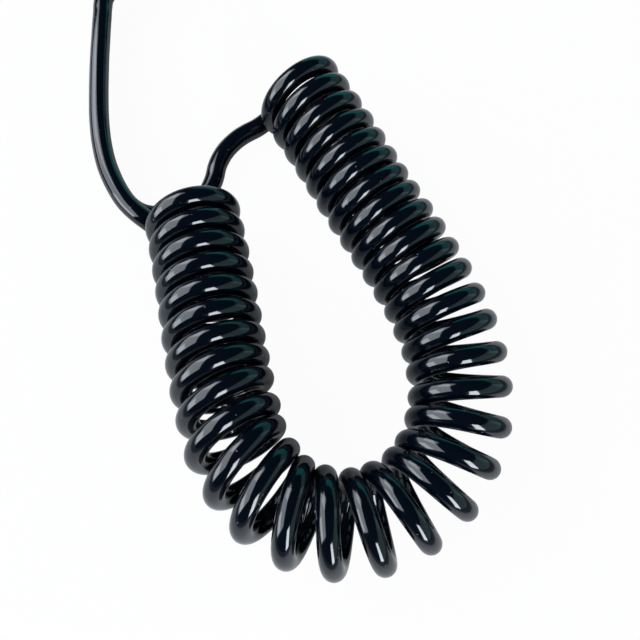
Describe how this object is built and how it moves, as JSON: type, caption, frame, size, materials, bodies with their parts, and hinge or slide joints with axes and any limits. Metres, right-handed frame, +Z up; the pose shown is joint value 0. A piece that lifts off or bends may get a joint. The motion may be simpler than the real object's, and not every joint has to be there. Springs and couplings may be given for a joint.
{
  "type": "coiled microphone cable",
  "caption": "Coiled XLR microphone cable: glossy black curly cord bent into a U, a straight lead at each end, and a male and a female three-pole connector lying side by side.",
  "frame": {"origin": "centre of the whole cable's box in plan, on the surface that it lies on", "axes": "+Z up, +Y from the bend of the curly cord towards the connectors and along both connectors' axes, out of their mating faces"},
  "size_m": [0.1363, 0.3138, 0.0315],
  "materials": {
    "jacket": "glossy smooth polyurethane, near black",
    "nickel": "satin nickel plate on die-cast zinc",
    "contact_silver": "silver plate on turned bronze",
    "spring_steel": "drawn steel wire",
    "black_plastic": "moulded black plastic, fine grain",
    "boot_rubber": "matt black moulded rubber",
    "drain_wire": "twisted tinned copper strands",
    "red_core": "extruded red insulation",
    "white_core": "extruded white insulation"
  },
  "bodies": {
    "cable": {"curly_cord": "jacket", "start_lead": "jacket", "end_lead": "jacket", "male_shell": "nickel", "male_insert": "black_plastic", "male_pin_1": "contact_silver", "male_pin_2": "contact_silver", "male_pin_3": "contact_silver", "male_chuck": "black_plastic", "male_boot": "boot_rubber", "male_core_1": "drain_wire", "male_core_2": "red_core", "male_core_3": "white_core", "female_shell": "nickel", "female_insert": "black_plastic", "female_contact_1": "contact_silver", "female_contact_2": "contact_silver", "female_contact_3": "contact_silver", "latch_spring": "spring_steel", "female_chuck": "black_plastic", "female_boot": "boot_rubber", "female_core_1": "drain_wire", "female_core_2": "red_core", "female_core_3": "white_core"},
    "latch": {"latch_button": "nickel"}
  },
  "joints": [
    {"name": "latch_press", "type": "slide", "parent": "cable", "child": "latch", "axis": [0, 0, -1], "range_m": [0, 0.0016], "stiffness_N_per_m": 1500, "springref_m": -0.0006, "deforming": ["latch_spring"]}
  ]
}
